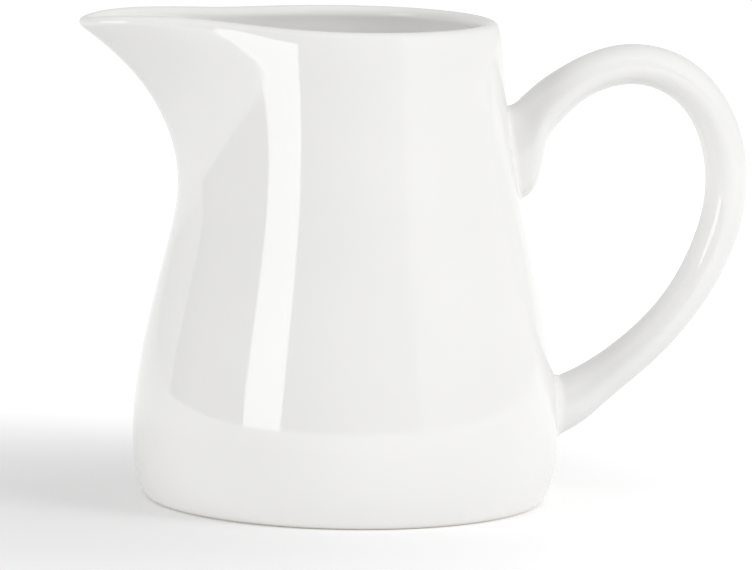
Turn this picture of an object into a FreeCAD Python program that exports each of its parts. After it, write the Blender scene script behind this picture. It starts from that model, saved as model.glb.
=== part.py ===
import FreeCAD, Part
import math
import os

# Porcelain milk jug: body, pinched spout and ear handle in one fired piece.
# Units are millimetres. The foot stands on z = 0, the spout points along -X,
# the handle along +X, and the XZ plane is the plane of symmetry. The foot, the
# floor, the wall and the handle's roots are all placed from the body's sizes.

V = FreeCAD.Vector

# Body
BELLY_RADIUS = 40.0
BELLY_HEIGHT = 13.0
FOOT_TUCK = 2.5          # how far the wall draws in from the belly to the foot
RIM_HEIGHT = 89.4        # where the outer skin turns into the rolled lip
RIM_RADIUS = 28.5
RIM_TUCK = 1.15          # last inward lean just under the lip
RIM_TUCK_REACH = 3.0
SHOULDER_LOW = 0.27      # fullness of the S-curve in its lower and upper half
SHOULDER_HIGH = 0.20

# Wall and lip
WALL = 3.0
TIP_THINNING = 1.0       # the wall is pinched thinner at the pouring lip
TIP_SPAN = 30.0          # height below the rim over which it thins
TIP_SPREAD = 14.0        # degrees each side of the spout
BASE_THICKENING = 0.4    # the wall thickens towards the floor
BASE_SPAN = 30.0         # height above the floor's turn over which it thickens
FLOOR = 4.2              # height of the inside floor above the foot plane
FLOOR_INSET = 18.0       # the flat floor ends this far in from the belly
FLOOR_TURN = 21.0        # height at which the wall starts to turn into the floor

# Spout
SPOUT_REACH = 24.4       # how far the lip is drawn out beyond the round rim
SPOUT_START = 0.474      # share of the height at which the throat begins
SPOUT_SWEEP = 2.2        # power of the throat's slow sweep
SPOUT_FLICK = 8.0        # power of the last outward flick
FLICK_SHARE = 0.12
SPOUT_SPREAD = 12.9      # degrees
SPOUT_NOSE = 8.0         # degrees, roundness of the nose
SPOUT_RISE = 0.82        # the rim climbs towards the spout
RISE_SPREAD = 50.0
TIP_DIP = 1.15           # and dips again at the tip
DIP_SPREAD = 7.0

# Foot
FOOT_INSET = 1.0         # the ground edge of the foot lies in from the wall
FOOT_CORNER = 1.5
FOOT_RING = 3.2
RECESS = 1.6
RECESS_SLOPE = 1.2

# Handle
CROWN_DROP = 7.8         # the crown's centre line lies below the rim
ROOT_HEIGHT = 15.6       # centre of the lower root above the foot plane
# One line for each section, from the upper root round to the lower one: distance out
# from the body's side, share of the height from the lower root to the crown, lean of
# the section in degrees, thickness and width.
HANDLE = (
    (-0.94, 0.7409, 10.5, 18.2, 11.0),
    (2.78, 0.7621, 13.5, 16.9, 10.8),
    (5.06, 0.8121, 17.0, 13.2, 10.4),
    (6.73, 0.8576, 20.0, 9.9, 10.0),
    (9.42, 0.8985, 31.0, 8.3, 9.7),
    (15.69, 0.9621, 20.0, 7.4, 9.5),
    (24.59, 1.0000, 0.0, 7.6, 9.5),
    (33.24, 0.9712, -25.0, 7.8, 9.5),
    (39.40, 0.8803, -51.0, 7.7, 9.5),
    (41.91, 0.7455, -77.0, 7.9, 9.5),
    (40.76, 0.6121, -98.0, 7.9, 9.4),
    (35.61, 0.4561, -115.0, 7.6, 9.2),
    (27.40, 0.3030, -127.0, 7.2, 8.9),
    (17.20, 0.1697, -138.0, 7.5, 8.9),
    (8.67, 0.0818, -146.0, 8.4, 9.6),
    (2.75, 0.0273, -163.0, 10.2, 11.2),
    (-1.65, 0.0000, -180.0, 11.2, 12.4),
)
UPPER_FILLET = 1.4
LOWER_FILLET = 2.8

RING_POINTS = 72
CROWDING = 33.0          # degrees, draws the ring's points together at the spout
SECTION_POINTS = 24


def body_radius(z):
    """Radius of the round body, before the spout is drawn out."""
    if z < BELLY_HEIGHT:
        u = (BELLY_HEIGHT - z) / BELLY_HEIGHT
        return BELLY_RADIUS - FOOT_TUCK * u ** 3
    v = (z - BELLY_HEIGHT) / (RIM_HEIGHT - BELLY_HEIGHT)
    w = v + SHOULDER_LOW * v * (1 - v) ** 2 + SHOULDER_HIGH * v * v * (1 - v)
    fall = math.cos(math.pi / 2 * w) ** 2
    tuck = RIM_TUCK * math.exp((z - RIM_HEIGHT) / RIM_TUCK_REACH)
    return RIM_RADIUS + (BELLY_RADIUS - RIM_RADIUS) * fall - tuck


def from_spout(theta):
    """Angle in degrees away from the spout's direction."""
    return math.degrees(abs(math.remainder(theta - math.pi, 2 * math.pi)))


def skin_radius(theta, z):
    """Outer radius with the spout."""
    v = (z - BELLY_HEIGHT) / (RIM_HEIGHT - BELLY_HEIGHT)
    t = max(0.0, (v - SPOUT_START) / (1 - SPOUT_START))
    pull = (1 - FLICK_SHARE) * t ** SPOUT_SWEEP + FLICK_SHARE * t ** SPOUT_FLICK
    away = math.hypot(from_spout(theta), SPOUT_NOSE) - SPOUT_NOSE
    return body_radius(z) + SPOUT_REACH * pull * math.exp(-away / SPOUT_SPREAD)


def rim_height(theta):
    """Height at which the outer skin turns into the lip."""
    away = from_spout(theta)
    rise = SPOUT_RISE * math.exp(-((away / RISE_SPREAD) ** 2))
    dip = TIP_DIP * math.exp(-((away / DIP_SPREAD) ** 2))
    return RIM_HEIGHT + rise - dip


def skin_point(theta, z):
    r = skin_radius(theta, z)
    return V(r * math.cos(theta), r * math.sin(theta), z)


def skin_normal(theta, z):
    d = 1e-4
    around = skin_point(theta + d, z) - skin_point(theta - d, z)
    up = skin_point(theta, z + d) - skin_point(theta, z - d)
    return around.cross(up).normalize()


def wall_at(theta, z):
    """Thickness of the wall, thinner at the nose and thicker near the base."""
    high = max(0.0, min(1.0, 1 - (RIM_HEIGHT - z) / TIP_SPAN))
    low = max(0.0, min(1.0, 1 - (z - FLOOR_TURN) / BASE_SPAN))
    pinch = math.exp(-((from_spout(theta) / TIP_SPREAD) ** 2))
    return WALL - TIP_THINNING * high * pinch + BASE_THICKENING * low


def foot_radius():
    """Outer radius of the standing ring."""
    return body_radius(0) - FOOT_INSET


def bezier(p0, p1, p2, p3, t):
    s = 1 - t
    return p0 * s ** 3 + p1 * (3 * s * s * t) + p2 * (3 * s * t * t) + p3 * t ** 3


def eased(count, power=1.0):
    """Shares from 0 to 1, drawn together at both ends."""
    out = []
    for i in range(count + 1):
        t = i / count
        out.append((1 - power) * t + power * (0.5 - 0.5 * math.cos(math.pi * t)))
    return out


def meridian(theta):
    """Points from the foot up the outside, over the lip and down to the floor."""
    radial = V(math.cos(theta), math.sin(theta), 0)
    top = rim_height(theta)
    points = []

    # rounded outer corner of the foot
    start = radial * foot_radius()
    end = skin_point(theta, FOOT_CORNER)
    slope = (skin_point(theta, FOOT_CORNER + 0.01) - end).normalize()
    lead = start + radial * FOOT_INSET + V(0, 0, FOOT_CORNER / 10)
    for i in range(5):
        points.append(bezier(start, lead, end - slope * (FOOT_CORNER * 0.6), end, i / 5))

    # outside wall
    for t in eased(26, 0.6):
        points.append(skin_point(theta, FOOT_CORNER + (top - FOOT_CORNER) * t))

    # rolled lip, a half circle across the wall
    edge = skin_point(theta, top)
    out = skin_normal(theta, top)
    d = 1e-3
    ahead = skin_point(theta + d, rim_height(theta + d))
    behind = skin_point(theta - d, rim_height(theta - d))
    up = out.cross(ahead - behind).normalize()
    if up.z < 0:
        up = up * -1
    half = wall_at(theta, top) / 2
    for i in range(1, 8):
        a = math.pi * i / 8
        points.append(edge - out * half + out * (half * math.cos(a)) + up * (half * math.sin(a)))

    # inside wall, the outside moved in by the wall
    for t in reversed(eased(22, 0.6)):
        z = FLOOR_TURN + (top - FLOOR_TURN) * t
        points.append(skin_point(theta, z) - skin_normal(theta, z) * wall_at(theta, z))

    # inside corner down to the flat floor
    start = points[-1]
    slope = (start - points[-2]).normalize() * (0.565 * (FLOOR_TURN - FLOOR))
    end = radial * (BELLY_RADIUS - FLOOR_INSET) + V(0, 0, FLOOR)
    lead = end + radial * (0.5 * FLOOR_INSET)
    for i in range(1, 9):
        points.append(bezier(start, start + slope, lead, end, i / 8))
    return points


def lengths(points):
    """Running length along a row of points."""
    out = [0.0]
    for a, b in zip(points, points[1:]):
        out.append(out[-1] + a.distanceToPoint(b))
    return out


def closed_skin(rows, along):
    """Smooth surface through rows of points; each row is one line along the surface,
    and the rows go once around it."""
    strips = []
    for row in rows:
        curve = Part.BSplineCurve()
        curve.interpolate(Points=row, Parameters=along)
        strips.append(curve)
    around = [float(i) for i in range(len(rows) + 1)]
    poles = []
    for j in range(strips[0].NbPoles):
        ring = Part.BSplineCurve()
        ring.interpolate(
            Points=[s.getPole(j + 1) for s in strips], PeriodicFlag=True, Parameters=around
        )
        poles.append(ring.getPoles())
    surface = Part.BSplineSurface()
    surface.buildFromPolesMultsKnots(
        [list(column) for column in zip(*poles)],
        ring.getMultiplicities(),
        strips[0].getMultiplicities(),
        ring.getKnots(),
        strips[0].getKnots(),
        True,
        False,
        3,
        3,
    )
    return surface


def closed_solid(surface):
    """The skin with flat faces over its two open ends."""
    face = surface.toShape()
    faces = [face]
    for edge in face.Edges:
        if edge.isClosed() and not edge.isSeam(face):
            faces.append(Part.Face(Part.Wire([edge])))
    solid = Part.Solid(Part.Shell(faces))
    solid.fix(1e-6, 1e-6, 1e-6)
    return solid


def ring_angle(i):
    """Angle of the ring's point i; the seam falls on the +Y side."""
    b = i / RING_POINTS - 1 / 3
    turn = 360 * b - CROWDING * math.sin(2 * math.pi * b)
    return math.pi + math.radians(turn)


def vessel():
    rows = [meridian(ring_angle(i)) for i in range(RING_POINTS)]
    along = lengths(meridian(math.pi / 2))
    return closed_solid(closed_skin(rows, along))


def foot_recess():
    """Shallow hollow under the base that leaves the standing ring."""
    outer = foot_radius() - FOOT_RING
    profile = [
        V(0, 0, -1),
        V(outer + RECESS_SLOPE / 2, 0, -1),
        V(outer - RECESS_SLOPE, 0, RECESS),
        V(0, 0, RECESS),
    ]
    face = Part.Face(Part.makePolygon(profile + profile[:1]))
    return face.revolve(V(0, 0, 0), V(0, 0, 1), 360)


def handle_section(out, share, lean, thickness, width):
    """Ellipse across the handle; its long axis follows the lean."""
    z = ROOT_HEIGHT + share * (RIM_HEIGHT - CROWN_DROP - ROOT_HEIGHT)
    centre = V(body_radius(z) + out, 0, z)
    a = math.radians(lean)
    outward = V(-math.sin(a), 0, math.cos(a))
    side = V(0, 1, 0)
    points = []
    for i in range(SECTION_POINTS):
        t = 2 * math.pi * (i + 0.5) / SECTION_POINTS
        rise = outward * (thickness / 2 * math.sin(t))
        points.append(centre + rise + side * (width / 2 * math.cos(t)))
    return points


def middle(points):
    total = V(0, 0, 0)
    for p in points:
        total = total + p
    return total / len(points)


def handle():
    sections = [handle_section(*station) for station in HANDLE]
    along = lengths([middle(s) for s in sections])
    return closed_solid(closed_skin([list(row) for row in zip(*sections)], along))


def root_edges(shape, body, grip, upper):
    """Edges where the grip meets the body, at its upper or its lower root."""
    halfway = grip.BoundBox.Center.z
    out = []
    for edge in shape.Edges:
        p = edge.valueAt((edge.FirstParameter + edge.LastParameter) / 2)
        spot = Part.Vertex(p)
        meets = max(spot.distToShape(body)[0], spot.distToShape(grip)[0]) < 1e-3
        if meets and (p.z > halfway) == upper:
            out.append(edge)
    return out


os.makedirs("parts", exist_ok=True)
body = vessel()
grip = handle()
jug = body.fuse(grip)
jug = jug.makeFillet(UPPER_FILLET, root_edges(jug, body.Shells[0], grip.Shells[0], True))
jug = jug.makeFillet(LOWER_FILLET, root_edges(jug, body.Shells[0], grip.Shells[0], False))
jug = jug.cut(foot_recess())
jug = jug.Solids[0]
jug.exportStep("parts/jug.step")
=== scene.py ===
import math

import bmesh
import bpy
import numpy as np
from mathutils import Matrix, Vector


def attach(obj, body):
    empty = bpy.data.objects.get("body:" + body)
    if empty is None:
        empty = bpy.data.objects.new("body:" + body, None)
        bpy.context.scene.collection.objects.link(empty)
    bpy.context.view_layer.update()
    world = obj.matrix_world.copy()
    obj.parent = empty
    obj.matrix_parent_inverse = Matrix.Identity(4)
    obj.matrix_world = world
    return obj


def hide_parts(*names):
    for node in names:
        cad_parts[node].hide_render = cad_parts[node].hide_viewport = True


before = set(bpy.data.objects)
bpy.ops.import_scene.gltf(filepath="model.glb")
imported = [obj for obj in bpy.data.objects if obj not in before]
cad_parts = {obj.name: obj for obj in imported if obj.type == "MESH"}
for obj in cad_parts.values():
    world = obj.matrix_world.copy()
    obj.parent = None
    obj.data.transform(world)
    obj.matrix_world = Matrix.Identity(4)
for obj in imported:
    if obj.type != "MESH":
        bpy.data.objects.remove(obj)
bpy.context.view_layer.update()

# ---------------------------------------------------------------- studio
# Lamps and cards are placed around the camera's own direction: angle 0 is the
# camera's side, positive angles are to its right. Lengths are in metres.
JUG_TURN = math.radians(12.0)
AIM = Vector((0, 0, 0.045))      # the lamps face the middle of the jug

CAMERA_DISTANCE = 1.24
CAMERA_HEIGHT = 0.2145
CAMERA_YAW = math.radians(0.2446)
CAMERA_PITCH = math.radians(8.0)
CAMERA_ROLL = math.radians(1.08)
SENSOR_WIDTH = 36
LENS = 319.1
VIEW_END = 50

AMBIENT = 0.605          # the studio's own light on matt faces; mirrored it is white
MIRRORED = 1.0
FLOOR_REACH = 6.0
FLOOR_WHITE = 0.86
# Painted shade and light on the floor: it glows for camera and mirror rays, least around a point beside
# the jug at its cast shadow and more with distance, so the shadow is painted deeper there and the floor
# is painted white further out.
PAINTED_GLOW_NEAR = 0.135        # painted glow of the floor at the centre of its painted shade, where the cast shadow is deepest
PAINTED_GLOW_FAR = 0.55
PAINTED_GLOW_REACH = 0.2         # how far the painted glow takes to grow from the painted shade to full strength
# centre of the painted shade on the floor, at the jug's cast shadow
PAINTED_SHADE_ANGLE = -56
PAINTED_SHADE_DISTANCE = 0.054
CARD_LEFT = -111
CARD_RIGHT = 40
CARD_DISTANCE = 1.6
CARD_HEIGHT = 1.6
CARD_STEPS = 40
CARD_GREY = 0.1
LAMPS = (                # name, angle, distance, height, width, tall, watts, seen in the glaze
    ("key", 61, 1.15, 0.75, 0.5, 0.5, 3.9, False),
    ("side", 75, 1.3, 0.35, 0.8, 0.7, 4.3, False),
    ("strip_soft", -45, 1.2, 0.66, 0.50, 0.33, 2.1, False),
    ("strip", -45, 1.25, 0.24, 0.50, 0.52, 3.25, True),
)
LIGHT_TURNS = 12         # bounces between matt walls, which light the inside


def around(angle, distance, height):
    """A place at an angle in degrees from the camera's side."""
    a = math.radians(angle)
    x = distance * math.sin(a)
    y = -distance * math.cos(a)
    c = math.cos(JUG_TURN)
    s = math.sin(JUG_TURN)
    return Vector((x * c + y * s, -x * s + y * c, height))


def make_camera():
    yaw = CAMERA_YAW
    pitch = CAMERA_PITCH
    right = Vector((math.cos(yaw), -math.sin(yaw), 0))
    ahead = math.sin(pitch)
    rise = Vector((math.sin(yaw) * ahead, math.cos(yaw) * ahead, math.cos(pitch)))
    x = right * math.cos(CAMERA_ROLL) + rise * math.sin(CAMERA_ROLL)
    y = rise * math.cos(CAMERA_ROLL) - right * math.sin(CAMERA_ROLL)
    turn = Matrix.Rotation(-JUG_TURN, 3, "Z")
    x = turn @ x
    y = turn @ y
    z = x.cross(y)
    data = bpy.data.cameras.new("camera")
    data.sensor_width = SENSOR_WIDTH
    data.lens = LENS
    data.clip_end = VIEW_END
    cam = bpy.data.objects.new("camera", data)
    bpy.context.scene.collection.objects.link(cam)
    matrix = Matrix((x, y, z)).transposed().to_4x4()
    matrix.translation = around(0, CAMERA_DISTANCE, CAMERA_HEIGHT)
    cam.matrix_world = matrix
    bpy.context.scene.camera = cam


def make_lamps():
    for name, angle, distance, height, width, tall, watts, seen in LAMPS:
        data = bpy.data.lights.new(name, "AREA")
        data.shape = "RECTANGLE"
        data.size = width
        data.size_y = tall
        data.energy = watts
        data.spread = math.pi
        obj = bpy.data.objects.new(name, data)
        bpy.context.scene.collection.objects.link(obj)
        place = around(angle, distance, height)
        turn = (AIM - place).to_track_quat("-Z", "Y").to_matrix().to_4x4()
        obj.matrix_world = Matrix.Translation(place) @ turn
        obj.visible_glossy = seen


def new_mesh(name, verts, faces):
    mesh = bpy.data.meshes.new(name)
    mesh.from_pydata(verts, [], faces)
    mesh.update()
    obj = bpy.data.objects.new(name, mesh)
    bpy.context.scene.collection.objects.link(obj)
    return obj


def nodes_of(owner):
    """The emptied nodes of a material or world, and its links."""
    owner.use_nodes = True
    owner.node_tree.nodes.clear()
    return owner.node_tree.nodes, owner.node_tree.links


def either(nodes, links, first, second):
    node = nodes.new("ShaderNodeMath")
    node.operation = "MAXIMUM"
    links.new(first, node.inputs[0])
    links.new(second, node.inputs[1])
    return node.outputs[0]


def not_matt(nodes, links):
    """1 for what the camera sees, mirrored or not, and 0 for light on matt faces."""
    path = nodes.new("ShaderNodeLightPath").outputs
    seen = either(nodes, links, path["Is Camera Ray"], path["Is Glossy Ray"])
    return either(nodes, links, seen, path["Is Transmission Ray"])


def grey(level):
    return (level, level, level, 1)


def floor_material():
    mat = bpy.data.materials.new("floor")
    nodes, links = nodes_of(mat)
    out = nodes.new("ShaderNodeOutputMaterial")
    matt = nodes.new("ShaderNodeBsdfDiffuse")
    matt.inputs["Color"].default_value = grey(FLOOR_WHITE)
    painted_glow = nodes.new("ShaderNodeEmission")
    # Painted shade: the floor's glow is weakest at the painted shade's centre beside the jug and grows
    # with distance from it, a painted light further out.
    place = nodes.new("ShaderNodeTexCoord")
    far = nodes.new("ShaderNodeVectorMath")
    far.operation = "DISTANCE"
    far.inputs[1].default_value = around(PAINTED_SHADE_ANGLE, PAINTED_SHADE_DISTANCE, 0.0)
    links.new(place.outputs["Object"], far.inputs[0])
    painted_shade_ramp = nodes.new("ShaderNodeMapRange")
    painted_shade_ramp.interpolation_type = "SMOOTHSTEP"
    painted_shade_ramp.inputs["From Max"].default_value = PAINTED_GLOW_REACH
    painted_shade_ramp.inputs["To Min"].default_value = PAINTED_GLOW_NEAR
    painted_shade_ramp.inputs["To Max"].default_value = PAINTED_GLOW_FAR
    links.new(far.outputs["Value"], painted_shade_ramp.inputs["Value"])
    strength = nodes.new("ShaderNodeMath")
    strength.operation = "MULTIPLY"
    links.new(not_matt(nodes, links), strength.inputs[0])
    links.new(painted_shade_ramp.outputs[0], strength.inputs[1])
    links.new(strength.outputs[0], painted_glow.inputs["Strength"])
    add = nodes.new("ShaderNodeAddShader")
    links.new(matt.outputs[0], add.inputs[0])
    links.new(painted_glow.outputs[0], add.inputs[1])
    links.new(add.outputs[0], out.inputs["Surface"])
    return mat


def make_floor():
    r = FLOOR_REACH
    corners = [(-r, -r, 0), (r, -r, 0), (r, r, 0), (-r, r, 0)]
    obj = new_mesh("floor", corners, [(0, 1, 2, 3)])
    obj.data.materials.append(floor_material())


def make_card():
    """Dark side of the studio, seen only in reflections."""
    verts = []
    faces = []
    for i in range(CARD_STEPS + 1):
        a = CARD_LEFT + (CARD_RIGHT - CARD_LEFT) * i / CARD_STEPS
        verts.append(around(a, CARD_DISTANCE, 0.0))
        verts.append(around(a, CARD_DISTANCE, CARD_HEIGHT))
        if i:
            n = 2 * i
            faces.append((n - 2, n, n + 1, n - 1))
    obj = new_mesh("card", verts, faces)
    mat = bpy.data.materials.new("card")
    nodes, links = nodes_of(mat)
    out = nodes.new("ShaderNodeOutputMaterial")
    matt = nodes.new("ShaderNodeBsdfDiffuse")
    matt.inputs["Color"].default_value = grey(CARD_GREY)
    links.new(matt.outputs[0], out.inputs["Surface"])
    obj.data.materials.append(mat)
    obj.visible_camera = False
    obj.visible_shadow = False
    obj.visible_diffuse = False


def make_world():
    world = bpy.data.worlds.new("studio")
    bpy.context.scene.world = world
    nodes, links = nodes_of(world)
    out = nodes.new("ShaderNodeOutputWorld")
    back = nodes.new("ShaderNodeBackground")
    level = nodes.new("ShaderNodeMapRange")
    level.inputs["To Min"].default_value = AMBIENT
    level.inputs["To Max"].default_value = MIRRORED
    links.new(not_matt(nodes, links), level.inputs["Value"])
    links.new(level.outputs[0], back.inputs["Strength"])
    links.new(back.outputs[0], out.inputs["Surface"])


# ---------------------------------------------------------------- form, in millimetres
BELLY_RADIUS = 40.0
BELLY_HEIGHT = 13.0
FOOT_TUCK = 2.5
RIM_HEIGHT = 89.4
RIM_RADIUS = 28.5
RIM_TUCK = 1.15
RIM_TUCK_REACH = 3.0
SHOULDER_LOW = 0.27
SHOULDER_HIGH = 0.20
WALL = 3.0
TIP_THINNING = 1.0
TIP_SPAN = 30.0
TIP_SPREAD = 14.0
BASE_THICKENING = 0.4
BASE_SPAN = 30.0
FLOOR = 4.2
FLOOR_INSET = 18.0
FLOOR_TURN = 21.0
SPOUT_REACH = 24.4
SPOUT_START = 0.474
SPOUT_SWEEP = 2.2
SPOUT_FLICK = 8.0
FLICK_SHARE = 0.12
SPOUT_SPREAD = 12.9
SPOUT_NOSE = 8.0
SPOUT_RISE = 0.82
RISE_SPREAD = 50.0
TIP_DIP = 1.15
DIP_SPREAD = 7.0
FOOT_INSET = 1.0
FOOT_CORNER = 1.5
FOOT_RING = 3.2
RECESS = 1.6
RECESS_SLOPE = 1.2
CROWN_DROP = 7.8
ROOT_HEIGHT = 15.6
HANDLE = (               # out from the body's side, share of height, lean, thickness, width
    (-0.94, 0.7409, 10.5, 18.2, 11.0),
    (2.78, 0.7621, 13.5, 16.9, 10.8),
    (5.06, 0.8121, 17.0, 13.2, 10.4),
    (6.73, 0.8576, 20.0, 9.9, 10.0),
    (9.42, 0.8985, 31.0, 8.3, 9.7),
    (15.69, 0.9621, 20.0, 7.4, 9.5),
    (24.59, 1.0000, 0.0, 7.6, 9.5),
    (33.24, 0.9712, -25.0, 7.8, 9.5),
    (39.40, 0.8803, -51.0, 7.7, 9.5),
    (41.91, 0.7455, -77.0, 7.9, 9.5),
    (40.76, 0.6121, -98.0, 7.9, 9.4),
    (35.61, 0.4561, -115.0, 7.6, 9.2),
    (27.40, 0.3030, -127.0, 7.2, 8.9),
    (17.20, 0.1697, -138.0, 7.5, 8.9),
    (8.67, 0.0818, -146.0, 8.4, 9.6),
    (2.75, 0.0273, -163.0, 10.2, 11.2),
    (-1.65, 0.0000, -180.0, 11.2, 12.4),
)
UPPER_FILLET = 1.4
LOWER_FILLET = 2.8
METRES = 0.001

COLUMNS = 288            # around the body
CROWDING = 20.0          # degrees, draws the columns together at the spout
OUTER_ROWS = 104
WINDOW_COLUMNS = 22      # patch of the body's grid that makes way for a root
WINDOW_ROWS = 32
UPPER_WINDOW = 52.4      # heights at which the two patches begin
LOWER_WINDOW = 5.2
HANDLE_RINGS = 120
LIP_STEPS = 18
INSIDE_ROWS = 64
TURN_STEPS = 18
CORNER_STEPS = 6
BLEND_STEPS = 9
PATCH_STEPS = 6


def body_radius(z):
    u = np.maximum(BELLY_HEIGHT - z, 0) / BELLY_HEIGHT
    v = np.maximum(z - BELLY_HEIGHT, 0) / (RIM_HEIGHT - BELLY_HEIGHT)
    w = v + SHOULDER_LOW * v * (1 - v) ** 2 + SHOULDER_HIGH * v * v * (1 - v)
    fall = np.cos(np.pi / 2 * w) ** 2
    tuck = RIM_TUCK * np.exp((z - RIM_HEIGHT) / RIM_TUCK_REACH)
    high = RIM_RADIUS + (BELLY_RADIUS - RIM_RADIUS) * fall - tuck
    return np.where(z < BELLY_HEIGHT, BELLY_RADIUS - FOOT_TUCK * u ** 3, high)


def from_spout(theta):
    """Angle in degrees away from the spout's direction."""
    return np.degrees(np.abs(theta % (2 * np.pi) - np.pi))


def skin_radius(theta, z):
    v = (z - BELLY_HEIGHT) / (RIM_HEIGHT - BELLY_HEIGHT)
    t = np.maximum(0, (v - SPOUT_START) / (1 - SPOUT_START))
    pull = (1 - FLICK_SHARE) * t ** SPOUT_SWEEP + FLICK_SHARE * t ** SPOUT_FLICK
    away = np.hypot(from_spout(theta), SPOUT_NOSE) - SPOUT_NOSE
    return body_radius(z) + SPOUT_REACH * pull * np.exp(-away / SPOUT_SPREAD)


def rim_height(theta):
    away = from_spout(theta)
    rise = SPOUT_RISE * np.exp(-((away / RISE_SPREAD) ** 2))
    return RIM_HEIGHT + rise - TIP_DIP * np.exp(-((away / DIP_SPREAD) ** 2))


def unit(v):
    return v / np.linalg.norm(v, axis=-1, keepdims=True)


def skin_point(theta, z):
    theta, z = np.broadcast_arrays(theta, z)
    r = skin_radius(theta, z)
    return np.stack((r * np.cos(theta), r * np.sin(theta), z), axis=-1)


def skin_normal(theta, z):
    d = 1e-4
    around_it = skin_point(theta + d, z) - skin_point(theta - d, z)
    up_it = skin_point(theta, z + d) - skin_point(theta, z - d)
    return unit(np.cross(around_it, up_it))


def wall_at(theta, z):
    high = np.clip(1 - (RIM_HEIGHT - z) / TIP_SPAN, 0, 1)
    low = np.clip(1 - (z - FLOOR_TURN) / BASE_SPAN, 0, 1)
    pinch = np.exp(-((from_spout(theta) / TIP_SPREAD) ** 2))
    return WALL - TIP_THINNING * high * pinch + BASE_THICKENING * low


def bezier(p0, p1, p2, p3, t):
    s = 1 - t
    return p0 * s ** 3 + p1 * (3 * s * s * t) + p2 * (3 * s * t * t) + p3 * t ** 3


def eased(count, power):
    """Shares from 0 to 1, drawn together at both ends."""
    t = np.arange(count + 1) / count
    return (1 - power) * t + power * (0.5 - 0.5 * np.cos(np.pi * t))


def upright(theta, radius, z):
    """A ring's points at one radius and height."""
    r = np.full_like(theta, radius)
    return np.stack((r * np.cos(theta), r * np.sin(theta), np.full_like(theta, z)), axis=-1)


def vessel_rows(theta):
    """Rings of points from under the foot up the outside, over the lip and down to
    the floor. Returns them with the number of the outside wall's first ring."""
    radial = np.stack((np.cos(theta), np.sin(theta), np.zeros_like(theta)), axis=-1)
    top = rim_height(theta)
    foot = float(body_radius(0.0)) - FOOT_INSET
    ring = foot - FOOT_RING
    rows = []

    # recess and standing ring
    slope_top = ring - RECESS_SLOPE
    for r in (4.0, 12.0, 20.0, 26.0, 29.5, slope_top - 0.8):
        rows.append(upright(theta, r, RECESS))
    corners = (
        (slope_top, RECESS, slope_top - 0.5, RECESS, slope_top + 0.3, RECESS - 0.4),
        (ring - 0.1, 0.0, ring - 0.35, 0.33, ring + 0.4, 0.0),
    )
    for cx, cz, ax, az, bx, bz in corners:
        for t in np.arange(CORNER_STEPS) / (CORNER_STEPS - 1):
            r = ax * (1 - t) ** 2 + cx * 2 * t * (1 - t) + bx * t * t
            z = az * (1 - t) ** 2 + cz * 2 * t * (1 - t) + bz * t * t
            rows.append(upright(theta, r, z))
    rows.append(upright(theta, foot - 1.6, 0.0))
    rows.append(upright(theta, foot - 0.6, 0.0))

    # rounded outer corner of the foot
    start = radial * foot
    end = skin_point(theta, FOOT_CORNER)
    slope = unit(skin_point(theta, FOOT_CORNER + 0.01) - end)
    lead = start + radial * FOOT_INSET + np.array((0, 0, FOOT_CORNER / 10))
    for t in np.arange(CORNER_STEPS) / CORNER_STEPS:
        rows.append(bezier(start, lead, end - slope * (FOOT_CORNER * 0.6), end, t))

    # outside wall
    first = len(rows)
    for t in eased(OUTER_ROWS, 0.3):
        rows.append(skin_point(theta, FOOT_CORNER + (top - FOOT_CORNER) * t))

    # rolled lip
    edge = skin_point(theta, top)
    out = skin_normal(theta, top)
    d = 1e-3
    ahead = skin_point(theta + d, rim_height(theta + d))
    behind = skin_point(theta - d, rim_height(theta - d))
    up = unit(np.cross(out, ahead - behind))
    up = up * np.sign(up[:, 2:])
    half = (wall_at(theta, top) / 2)[:, None]
    for a in np.pi * np.arange(1, LIP_STEPS) / LIP_STEPS:
        rows.append(edge - out * half + out * (half * np.cos(a)) + up * (half * np.sin(a)))

    # inside wall
    for t in eased(INSIDE_ROWS, 0.6)[::-1]:
        z = FLOOR_TURN + (top - FLOOR_TURN) * t
        rows.append(skin_point(theta, z) - skin_normal(theta, z) * wall_at(theta, z)[:, None])

    # corner down to the floor
    start = rows[-1]
    slope = unit(start - rows[-2]) * (0.565 * (FLOOR_TURN - FLOOR))
    end = radial * (BELLY_RADIUS - FLOOR_INSET) + np.array((0, 0, FLOOR))
    lead = end + radial * (0.5 * FLOOR_INSET)
    for t in np.arange(1, TURN_STEPS + 1) / TURN_STEPS:
        rows.append(bezier(start, start + slope, lead, end, t))
    for r in (18.0, 13.0, 8.0, 4.0, 1.5):
        rows.append(upright(theta, r, FLOOR))
    return rows, first


class Spline:
    """Natural cubic through rows of points."""

    def __init__(self, x, y):
        n = len(x)
        h = np.diff(x)
        a = np.eye(n)
        b = np.zeros_like(y)
        for i in range(1, n - 1):
            a[i, i - 1] = h[i - 1]
            a[i, i] = 2 * (h[i - 1] + h[i])
            a[i, i + 1] = h[i]
            b[i] = 6 * ((y[i + 1] - y[i]) / h[i] - (y[i] - y[i - 1]) / h[i - 1])
        m = np.linalg.solve(a, b.reshape(n, -1)).reshape(y.shape)
        self.x, self.y, self.m, self.h = x, y, m, h

    def at(self, lines, s):
        """Points on the numbered lines at the running lengths s."""
        i = np.clip(np.searchsorted(self.x, s, side="right") - 1, 0, len(self.h) - 1)
        h = self.h[i][..., None]
        p = (self.x[i + 1] - s)[..., None]
        q = (s - self.x[i])[..., None]
        y0, y1 = self.y[i, lines], self.y[i + 1, lines]
        m0, m1 = self.m[i, lines], self.m[i + 1, lines]
        curve = (m0 * p ** 3 + m1 * q ** 3) / (6 * h)
        return curve + (y0 / h - m0 * h / 6) * p + (y1 / h - m1 * h / 6) * q


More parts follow.
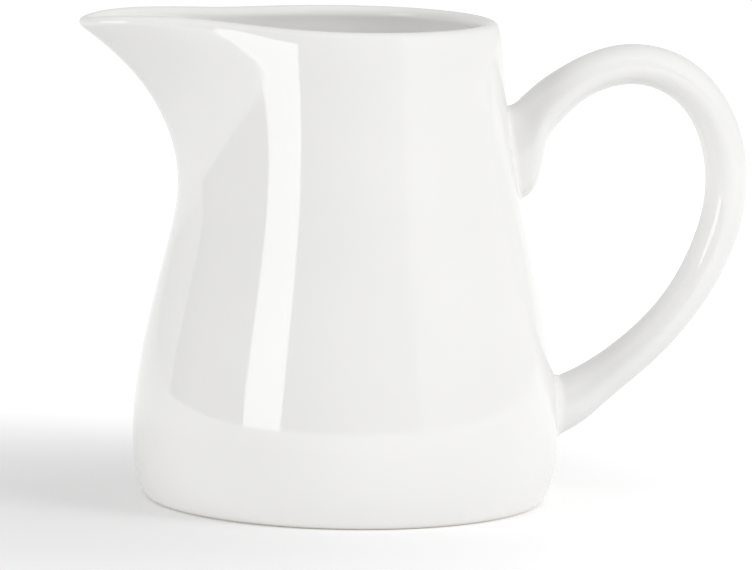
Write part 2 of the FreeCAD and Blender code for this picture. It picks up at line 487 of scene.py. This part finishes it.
def handle_lines(count):
    """The lines along the handle as one spline, and its whole length."""
    t = 2 * np.pi * np.arange(count) / count
    rings = []
    centres = []
    for out, share, lean, thick, width in HANDLE:
        z = ROOT_HEIGHT + share * (RIM_HEIGHT - CROWN_DROP - ROOT_HEIGHT)
        centre = np.array((float(body_radius(z)) + out, 0, z))
        a = math.radians(lean)
        outward = np.array((-math.sin(a), 0, math.cos(a)))
        side = np.array((0, 1, 0))
        over = np.outer(np.sin(t), outward) * thick / 2
        across = np.outer(np.cos(t), side) * width / 2
        rings.append(centre + over + across)
        centres.append(centre)
    steps = np.linalg.norm(np.diff(np.array(centres), axis=0), axis=1)
    x = np.concatenate(([0], np.cumsum(steps)))
    return Spline(x, np.array(rings)), x[-1]


def height_over_skin(p):
    theta = np.arctan2(p[..., 1], p[..., 0])
    return np.hypot(p[..., 0], p[..., 1]) - skin_radius(theta, p[..., 2])


def crossings(lines, s_inside, s_outside):
    """Where each line of the handle comes out of the body."""
    k = np.arange(lines.y.shape[1])
    steps = 80
    a = np.full(len(k), float(s_inside))
    b = np.full(len(k), float(s_outside))
    found = np.zeros(len(k), bool)
    for i in range(1, steps + 1):
        s = s_inside + (s_outside - s_inside) * i / steps
        out = height_over_skin(lines.at(k, np.full(len(k), s))) > 0
        new = out & ~found
        b[new] = s
        a[new] = s - (s_outside - s_inside) / steps
        found |= out
    for _ in range(40):
        m = (a + b) / 2
        out = height_over_skin(lines.at(k, m)) > 0
        b = np.where(out, m, b)
        a = np.where(out, a, m)
    return (a + b) / 2


def root(lines, s_inside, s_outside, fillet):
    """Blend between handle and body: rings from the body's skin out to the handle, and
    the running lengths at which the handle's own rings take over."""
    k = np.arange(lines.y.shape[1])
    way = 1.0 if s_outside > s_inside else -1.0
    s = crossings(lines, s_inside, s_outside)
    corner = lines.at(k, s)
    theta = np.arctan2(corner[:, 1], corner[:, 0])
    n_body = skin_normal(theta, corner[:, 2])
    along = unit(np.roll(corner, -1, 0) - np.roll(corner, 1, 0))
    line_way = unit(lines.at(k, s + way * 0.01) - corner)
    n_tube = unit(np.cross(along, line_way))
    off_body = unit(np.cross(along, n_body))
    centre = corner.mean(0)
    off_body *= np.sign(((corner - centre) * off_body).sum(1))[:, None]
    off_tube = unit(np.cross(n_tube, along))
    off_tube *= np.sign((off_tube * n_body).sum(1))[:, None]
    gap = np.arccos(np.clip((off_body * off_tube).sum(1), -1, 1))
    reach = fillet / np.tan(gap / 2)
    for _ in range(6):
        reach = (np.roll(reach, 1) + 2 * reach + np.roll(reach, -1)) / 4
    straight = np.clip((line_way * off_tube).sum(1), 0.35, 1)
    s_tube = s + way * reach / straight
    far = corner + off_body * reach[:, None]
    t_far = np.arctan2(far[:, 1], far[:, 0])
    on_body = skin_point(t_far, far[:, 2])
    on_tube = lines.at(k, s_tube)
    n_far = skin_normal(t_far, far[:, 2])
    to_corner = corner - on_body
    lead_body = to_corner - n_far * (to_corner * n_far).sum(1)[:, None]
    step = lines.at(k, s_tube + way * 0.01) - on_tube
    lead_tube = -unit(step) * np.linalg.norm(corner - on_tube, axis=1)[:, None]
    turn = np.pi - gap
    kappa = (4 / 3 * np.tan(turn / 4) / np.tan(turn / 2))[:, None]
    near_body = on_body + lead_body * kappa
    near_tube = on_tube + lead_tube * kappa
    rings = [bezier(on_body, near_body, near_tube, on_tube, j / BLEND_STEPS) for j in range(BLEND_STEPS)]
    return rings, s_tube, np.stack((t_far, far[:, 2]), axis=1)


def window_loop(row0, col0, downward):
    """Grid places round a window, from the middle of its +Y side."""
    rows, cols = WINDOW_ROWS, WINDOW_COLUMNS
    right = [(r, cols) for r in range(rows // 2, rows)]
    over = [(rows, c) for c in range(cols, 0, -1)]
    left = [(r, 0) for r in range(rows, 0, -1)]
    under = [(0, c) for c in range(cols)]
    last = [(r, cols) for r in range(rows // 2)]
    loop = right + over + left + under + last
    if downward:
        loop = [loop[0]] + loop[:0:-1]
    return [(row0 + r, col0 + c) for r, c in loop]


def jug_mesh():
    b = np.arange(COLUMNS) / COLUMNS
    theta = np.pi + np.radians(360 * b - CROWDING * np.sin(2 * np.pi * b))
    rows, first = vessel_rows(theta)
    points = [np.array(rows).reshape(-1, 3)]
    total = len(points[0])
    index = np.arange(total).reshape(len(rows), COLUMNS)
    faces = []

    # the body's grid, with a window for each root
    heights = np.array([row[COLUMNS // 2, 2] for row in rows])
    outside = np.arange(len(rows))
    outside = (outside >= first) & (outside <= first + OUTER_ROWS)
    col0 = COLUMNS // 2 - WINDOW_COLUMNS // 2
    windows = [int(np.argmax(outside & (heights >= low))) for low in (UPPER_WINDOW, LOWER_WINDOW)]
    for r in range(len(rows) - 1):
        for c in range(COLUMNS):
            inside = col0 <= c < col0 + WINDOW_COLUMNS
            if inside and any(w <= r < w + WINDOW_ROWS for w in windows):
                continue
            d = (c + 1) % COLUMNS
            faces.append((index[r, c], index[r, d], index[r + 1, d], index[r + 1, c]))
    for row, z in ((0, RECESS), (len(rows) - 1, FLOOR)):
        points.append(np.array(((0, 0, z),)))
        for c in range(COLUMNS):
            d = (c + 1) % COLUMNS
            faces.append((total, index[row, c], index[row, d]))
        total += 1

    def join(a, b):
        n = len(a)
        for i in range(n):
            j = (i + 1) % n
            faces.append((a[i], a[j], b[j], b[i]))

    def add(ring):
        nonlocal total
        points.append(ring)
        total += len(ring)
        return np.arange(total - len(ring), total)

    # roots and handle
    count = 2 * (WINDOW_COLUMNS + WINDOW_ROWS)
    lines, whole = handle_lines(count)
    upper = root(lines, 0.0, whole * 0.12, UPPER_FILLET)
    lower = root(lines, whole, whole * 0.9, LOWER_FILLET)
    last_rings = []
    for blend, row0, downward in ((upper, windows[0], False), (lower, windows[1], True)):
        rings, s_tube, flat = blend
        loop = [index[r, c] for r, c in window_loop(row0, col0, downward)]
        edge = points[0][loop]
        edge_flat = np.stack((np.arctan2(edge[:, 1], edge[:, 0]), edge[:, 2]), axis=1)
        before = np.array(loop)
        for j in range(1, PATCH_STEPS):
            g = j / PATCH_STEPS
            mix = edge_flat * (1 - g) + flat * g
            ring = add(skin_point(mix[:, 0], mix[:, 1]))
            join(before, ring)
            before = ring
        for ring_points in rings:
            ring = add(ring_points)
            join(before, ring)
            before = ring
        last_rings.append((before, s_tube))
    k = np.arange(count)
    before, s0 = last_rings[0]
    for j in range(HANDLE_RINGS + 1):
        w = j / HANDLE_RINGS
        ring = add(lines.at(k, s0 * (1 - w) + last_rings[1][1] * w))
        join(before, ring)
        before = ring
    join(before, last_rings[1][0])

    points = np.concatenate(points) * METRES
    used, where = np.unique(np.concatenate([np.array(f) for f in faces]), return_inverse=True)
    sizes = [len(f) for f in faces]
    cuts = np.cumsum([0] + sizes)
    where = where.tolist()
    faces = [where[a:b] for a, b in zip(cuts, cuts[1:])]
    return points[used], faces


# ---------------------------------------------------------------- porcelain
GLAZE = (0.935, 0.930, 0.918, 1)
THICK_GLAZE = (0.915, 0.911, 0.902, 1)
BARE_CLAY = (0.80, 0.77, 0.72, 1)
BARE_UP_TO = 0.0005      # the standing face is wiped clean of glaze
BARE_ROUGHNESS = 0.5
GLASS = 1.5
POOLS = 38               # sizes of the noise, in turns to the metre
SMEARS = 160
WAVES = 55
WAVE_DEPTH = 0.00007
PEEL = 900
PEEL_DEPTH = 0.0000035
SHINIEST = 0.045
DULLEST = 0.075


def noise(nodes, links, place, scale, detail):
    node = nodes.new("ShaderNodeTexNoise")
    node.inputs["Scale"].default_value = scale
    node.inputs["Detail"].default_value = detail
    links.new(place.outputs["Object"], node.inputs["Vector"])
    return node.outputs[0]


def ramp(nodes, links, value, low, high, to_low, to_high):
    node = nodes.new("ShaderNodeMapRange")
    node.inputs["From Min"].default_value = low
    node.inputs["From Max"].default_value = high
    node.inputs["To Min"].default_value = to_low
    node.inputs["To Max"].default_value = to_high
    links.new(value, node.inputs["Value"])
    return node.outputs[0]


def mixed(nodes, links, share, first, second):
    """A colour between two, each a fixed colour or another node's output."""
    node = nodes.new("ShaderNodeMix")
    node.data_type = "RGBA"
    links.new(share, node.inputs["Factor"])
    for socket, colour in ((node.inputs[6], first), (node.inputs[7], second)):
        if isinstance(colour, tuple):
            socket.default_value = colour
        else:
            links.new(colour, socket)
    return node.outputs[2]


def bump(nodes, links, height, depth):
    node = nodes.new("ShaderNodeBump")
    node.inputs["Strength"].default_value = 1.0
    node.inputs["Distance"].default_value = depth
    links.new(height, node.inputs["Height"])
    return node


def porcelain():
    """Clear glaze over white clay: it pools a little, lies in long soft waves and a
    fine peel, and is missing on the standing ring."""
    mat = bpy.data.materials.new("porcelain")
    nodes, links = nodes_of(mat)
    out = nodes.new("ShaderNodeOutputMaterial")
    skin = nodes.new("ShaderNodeBsdfPrincipled")
    skin.inputs["IOR"].default_value = GLASS
    place = nodes.new("ShaderNodeTexCoord")

    height = nodes.new("ShaderNodeSeparateXYZ")
    links.new(place.outputs["Object"], height.inputs[0])
    bare = ramp(nodes, links, height.outputs["Z"], BARE_UP_TO * 0.6, BARE_UP_TO, 1, 0)

    pooling = ramp(nodes, links, noise(nodes, links, place, POOLS, 3), 0.35, 0.7, 0, 1)
    colour = mixed(nodes, links, pooling, GLAZE, THICK_GLAZE)
    links.new(mixed(nodes, links, bare, colour, BARE_CLAY), skin.inputs["Base Color"])

    smears = noise(nodes, links, place, SMEARS, 4)
    polish = ramp(nodes, links, smears, 0.3, 0.7, SHINIEST, DULLEST)
    rough = nodes.new("ShaderNodeMath")
    rough.operation = "MULTIPLY_ADD"
    rough.inputs[1].default_value = BARE_ROUGHNESS
    links.new(bare, rough.inputs[0])
    links.new(polish, rough.inputs[2])
    links.new(rough.outputs[0], skin.inputs["Roughness"])

    waves = bump(nodes, links, noise(nodes, links, place, WAVES, 1), WAVE_DEPTH)
    peel = bump(nodes, links, noise(nodes, links, place, PEEL, 2), PEEL_DEPTH)
    links.new(waves.outputs[0], peel.inputs["Normal"])
    links.new(peel.outputs[0], skin.inputs["Normal"])
    links.new(skin.outputs[0], out.inputs["Surface"])
    return mat


def make_jug():
    points, faces = jug_mesh()
    jug = new_mesh("jug_glazed", points.tolist(), faces)
    outward = bmesh.new()
    outward.from_mesh(jug.data)
    bmesh.ops.recalc_face_normals(outward, faces=outward.faces)
    outward.to_mesh(jug.data)
    outward.free()
    jug.data.shade_smooth()
    jug.data.materials.append(porcelain())
    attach(jug, "root")
    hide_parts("jug")


make_camera()
make_world()
make_floor()
make_card()
make_lamps()
make_jug()

scene = bpy.context.scene
scene.view_settings.view_transform = "Standard"
scene.cycles.diffuse_bounces = LIGHT_TURNS
